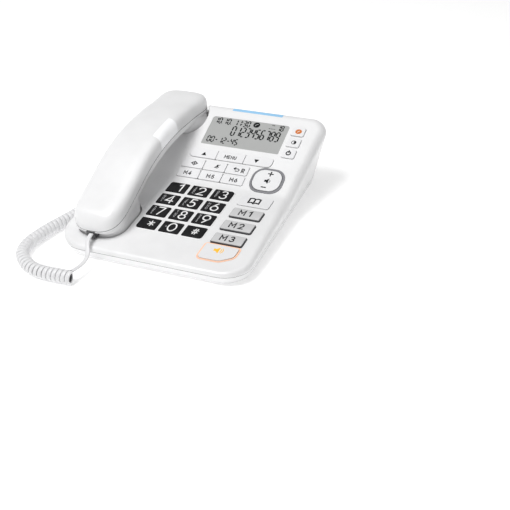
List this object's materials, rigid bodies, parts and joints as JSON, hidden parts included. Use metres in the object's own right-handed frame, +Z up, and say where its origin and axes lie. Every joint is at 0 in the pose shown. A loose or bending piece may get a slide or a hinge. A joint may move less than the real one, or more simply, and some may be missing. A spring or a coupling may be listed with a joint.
{
  "type": "corded landline phone",
  "caption": "White corded desk phone with large black number keys, a tilted grey display, a side-mounted handset in its cradle and a curly handset cord.",
  "frame": {"origin": "on the table surface, at the centre of the footprint of the base and handset together (the cord is not counted)", "axes": "+X to the user's right, +Y to the back of the phone, +Z up from the table"},
  "size_m": [0.2078, 0.2488, 0.0762],
  "materials": {
    "case_white": "satin white ABS",
    "key_white": "satin white",
    "key_black": "glossy black face with a white rim",
    "label_cover": "clear cover over a paper label",
    "handsfree": "satin white",
    "glow_orange": "translucent, lit warm orange",
    "light_bar": "translucent light blue",
    "lamp_window": "translucent white",
    "display_glass": "clear window over a grey liquid crystal display",
    "display_cell": "grey",
    "rubber_grey": "matt",
    "mat_silicone": "matt",
    "circuit_board": "satin",
    "jack_plastic": "matt",
    "plug_clear": "clear",
    "screw_steel": "zinc plated",
    "ballast_steel": "plain",
    "capsule_metal": "satin",
    "cord_white": "soft satin PVC"
  },
  "bodies": {
    "base": {"base_top_cover": "case_white", "base_bottom_cover": "case_white", "display_window": "display_glass", "display_module": "display_cell", "ring_light_bar": "light_bar", "keypad_circuit_board": "circuit_board", "main_circuit_board": "circuit_board", "key_mats": "mat_silicone", "loudspeaker": "capsule_metal", "line_jack": "jack_plastic", "handset_cord_jack": "jack_plastic", "rubber_feet": "rubber_grey", "case_screws": "screw_steel", "volume_bezel": "case_white", "handsfree_light_ring": "glow_orange", "hook_switch": "jack_plastic", "cord_handset_lead": "cord_white", "cord_coil": "cord_white", "cord_base_lead": "cord_white", "base_plug": "plug_clear"},
    "key_1_body": {"key_1": "key_black"},
    "key_2_body": {"key_2": "key_black"},
    "key_3_body": {"key_3": "key_black"},
    "key_4_body": {"key_4": "key_black"},
    "key_5_body": {"key_5": "key_black"},
    "key_6_body": {"key_6": "key_black"},
    "key_7_body": {"key_7": "key_black"},
    "key_8_body": {"key_8": "key_black"},
    "key_9_body": {"key_9": "key_black"},
    "key_star_body": {"key_star": "key_black"},
    "key_0_body": {"key_0": "key_black"},
    "key_hash_body": {"key_hash": "key_black"},
    "key_memory_1_body": {"key_memory_1": "label_cover"},
    "key_memory_2_body": {"key_memory_2": "label_cover"},
    "key_memory_3_body": {"key_memory_3": "label_cover"},
    "key_phonebook_body": {"key_phonebook": "key_white"},
    "key_handsfree_body": {"key_handsfree": "handsfree"},
    "key_up_body": {"key_up": "key_white"},
    "key_menu_body": {"key_menu": "key_white"},
    "key_down_body": {"key_down": "key_white"},
    "key_program_body": {"key_program": "key_white"},
    "key_mute_body": {"key_mute": "key_white"},
    "key_recall_body": {"key_recall": "key_white"},
    "key_memory_4_body": {"key_memory_4": "key_white"},
    "key_memory_5_body": {"key_memory_5": "key_white"},
    "key_memory_6_body": {"key_memory_6": "key_white"},
    "key_power_body": {"key_power": "key_white"},
    "key_contrast_body": {"key_contrast": "key_white"},
    "key_amplifier_body": {"key_amplifier": "key_white"},
    "volume_rocker_body": {"volume_rocker": "key_white"},
    "hook_plunger_body": {"hook_plunger": "key_white"},
    "handset_body": {"handset_outer_shell": "case_white", "handset_inner_shell": "case_white", "handset_lamp_window": "lamp_window", "receiver_capsule": "capsule_metal", "microphone_capsule": "capsule_metal", "ballast_weight": "ballast_steel", "handset_jack": "jack_plastic", "handset_screws": "screw_steel", "handset_plug": "plug_clear"}
  },
  "joints": [
    {"name": "key_1_press", "type": "slide", "parent": "base", "child": "key_1_body", "axis": [0, 0.1219, -0.9925], "range_m": [0, 0.001], "stiffness_N_per_m": 400, "springref_m": -0.001},
    {"name": "key_2_press", "type": "slide", "parent": "base", "child": "key_2_body", "axis": [0, 0.1219, -0.9925], "range_m": [0, 0.001], "stiffness_N_per_m": 400, "springref_m": -0.001},
    {"name": "key_3_press", "type": "slide", "parent": "base", "child": "key_3_body", "axis": [0, 0.1219, -0.9925], "range_m": [0, 0.001], "stiffness_N_per_m": 400, "springref_m": -0.001},
    {"name": "key_4_press", "type": "slide", "parent": "base", "child": "key_4_body", "axis": [0, 0.1219, -0.9925], "range_m": [0, 0.001], "stiffness_N_per_m": 400, "springref_m": -0.001},
    {"name": "key_5_press", "type": "slide", "parent": "base", "child": "key_5_body", "axis": [0, 0.1219, -0.9925], "range_m": [0, 0.001], "stiffness_N_per_m": 400, "springref_m": -0.001},
    {"name": "key_6_press", "type": "slide", "parent": "base", "child": "key_6_body", "axis": [0, 0.1219, -0.9925], "range_m": [0, 0.001], "stiffness_N_per_m": 400, "springref_m": -0.001},
    {"name": "key_7_press", "type": "slide", "parent": "base", "child": "key_7_body", "axis": [0, 0.1219, -0.9925], "range_m": [0, 0.001], "stiffness_N_per_m": 400, "springref_m": -0.001},
    {"name": "key_8_press", "type": "slide", "parent": "base", "child": "key_8_body", "axis": [0, 0.1219, -0.9925], "range_m": [0, 0.001], "stiffness_N_per_m": 400, "springref_m": -0.001},
    {"name": "key_9_press", "type": "slide", "parent": "base", "child": "key_9_body", "axis": [0, 0.1219, -0.9925], "range_m": [0, 0.001], "stiffness_N_per_m": 400, "springref_m": -0.001},
    {"name": "key_star_press", "type": "slide", "parent": "base", "child": "key_star_body", "axis": [0, 0.1219, -0.9925], "range_m": [0, 0.001], "stiffness_N_per_m": 400, "springref_m": -0.001},
    {"name": "key_0_press", "type": "slide", "parent": "base", "child": "key_0_body", "axis": [0, 0.1219, -0.9925], "range_m": [0, 0.001], "stiffness_N_per_m": 400, "springref_m": -0.001},
    {"name": "key_hash_press", "type": "slide", "parent": "base", "child": "key_hash_body", "axis": [0, 0.1219, -0.9925], "range_m": [0, 0.001], "stiffness_N_per_m": 400, "springref_m": -0.001},
    {"name": "key_memory_1_press", "type": "slide", "parent": "base", "child": "key_memory_1_body", "axis": [0, 0.1219, -0.9925], "range_m": [0, 0.001], "stiffness_N_per_m": 400, "springref_m": -0.001},
    {"name": "key_memory_2_press", "type": "slide", "parent": "base", "child": "key_memory_2_body", "axis": [0, 0.1219, -0.9925], "range_m": [0, 0.001], "stiffness_N_per_m": 400, "springref_m": -0.001},
    {"name": "key_memory_3_press", "type": "slide", "parent": "base", "child": "key_memory_3_body", "axis": [0, 0.1219, -0.9925], "range_m": [0, 0.001], "stiffness_N_per_m": 400, "springref_m": -0.001},
    {"name": "key_phonebook_press", "type": "slide", "parent": "base", "child": "key_phonebook_body", "axis": [0, 0.1219, -0.9925], "range_m": [0, 0.001], "stiffness_N_per_m": 400, "springref_m": -0.001},
    {"name": "key_handsfree_press", "type": "slide", "parent": "base", "child": "key_handsfree_body", "axis": [0, 0.1219, -0.9925], "range_m": [0, 0.001], "stiffness_N_per_m": 400, "springref_m": -0.001},
    {"name": "key_up_press", "type": "slide", "parent": "base", "child": "key_up_body", "axis": [0, 0.4147, -0.91], "range_m": [0, 0.001], "stiffness_N_per_m": 400, "springref_m": -0.001},
    {"name": "key_menu_press", "type": "slide", "parent": "base", "child": "key_menu_body", "axis": [0, 0.4147, -0.91], "range_m": [0, 0.001], "stiffness_N_per_m": 400, "springref_m": -0.001},
    {"name": "key_down_press", "type": "slide", "parent": "base", "child": "key_down_body", "axis": [0, 0.4147, -0.91], "range_m": [0, 0.001], "stiffness_N_per_m": 400, "springref_m": -0.001},
    {"name": "key_program_press", "type": "slide", "parent": "base", "child": "key_program_body", "axis": [0, 0.4147, -0.91], "range_m": [0, 0.001], "stiffness_N_per_m": 400, "springref_m": -0.001},
    {"name": "key_mute_press", "type": "slide", "parent": "base", "child": "key_mute_body", "axis": [0, 0.4147, -0.91], "range_m": [0, 0.001], "stiffness_N_per_m": 400, "springref_m": -0.001},
    {"name": "key_recall_press", "type": "slide", "parent": "base", "child": "key_recall_body", "axis": [0, 0.4147, -0.91], "range_m": [0, 0.001], "stiffness_N_per_m": 400, "springref_m": -0.001},
    {"name": "key_memory_4_press", "type": "slide", "parent": "base", "child": "key_memory_4_body", "axis": [0, 0.4147, -0.91], "range_m": [0, 0.001], "stiffness_N_per_m": 400, "springref_m": -0.001},
    {"name": "key_memory_5_press", "type": "slide", "parent": "base", "child": "key_memory_5_body", "axis": [0, 0.4147, -0.91], "range_m": [0, 0.001], "stiffness_N_per_m": 400, "springref_m": -0.001},
    {"name": "key_memory_6_press", "type": "slide", "parent": "base", "child": "key_memory_6_body", "axis": [0, 0.4147, -0.91], "range_m": [0, 0.001], "stiffness_N_per_m": 400, "springref_m": -0.001},
    {"name": "key_power_press", "type": "slide", "parent": "base", "child": "key_power_body", "axis": [0, 0.4147, -0.91], "range_m": [0, 0.001], "stiffness_N_per_m": 400, "springref_m": -0.001},
    {"name": "key_contrast_press", "type": "slide", "parent": "base", "child": "key_contrast_body", "axis": [0, 0.4147, -0.91], "range_m": [0, 0.001], "stiffness_N_per_m": 400, "springref_m": -0.001},
    {"name": "key_amplifier_press", "type": "slide", "parent": "base", "child": "key_amplifier_body", "axis": [0, 0.4147, -0.91], "range_m": [0, 0.001], "stiffness_N_per_m": 400, "springref_m": -0.001},
    {"name": "volume_rock", "type": "hinge", "parent": "base", "child": "volume_rocker_body", "pos_m": [0.0589, 0.02155, 0.0291], "axis": [1, 0, 0], "range_deg": [-4, 4], "stiffness_Nm_per_rad": 0.15},
    {"name": "hook_rise", "type": "slide", "parent": "base", "child": "hook_plunger_body", "axis": [0, 0, 1], "range_m": [0, 0.003]},
    {"name": "handset_lift", "type": "slide", "parent": "base", "child": "handset_body", "axis": [0, 0, 1], "range_m": [0, 0.08]}
  ],
  "couplings": [
    {"joint": "hook_rise", "follows": "handset_lift", "ratio": 0.0375}
  ]
}
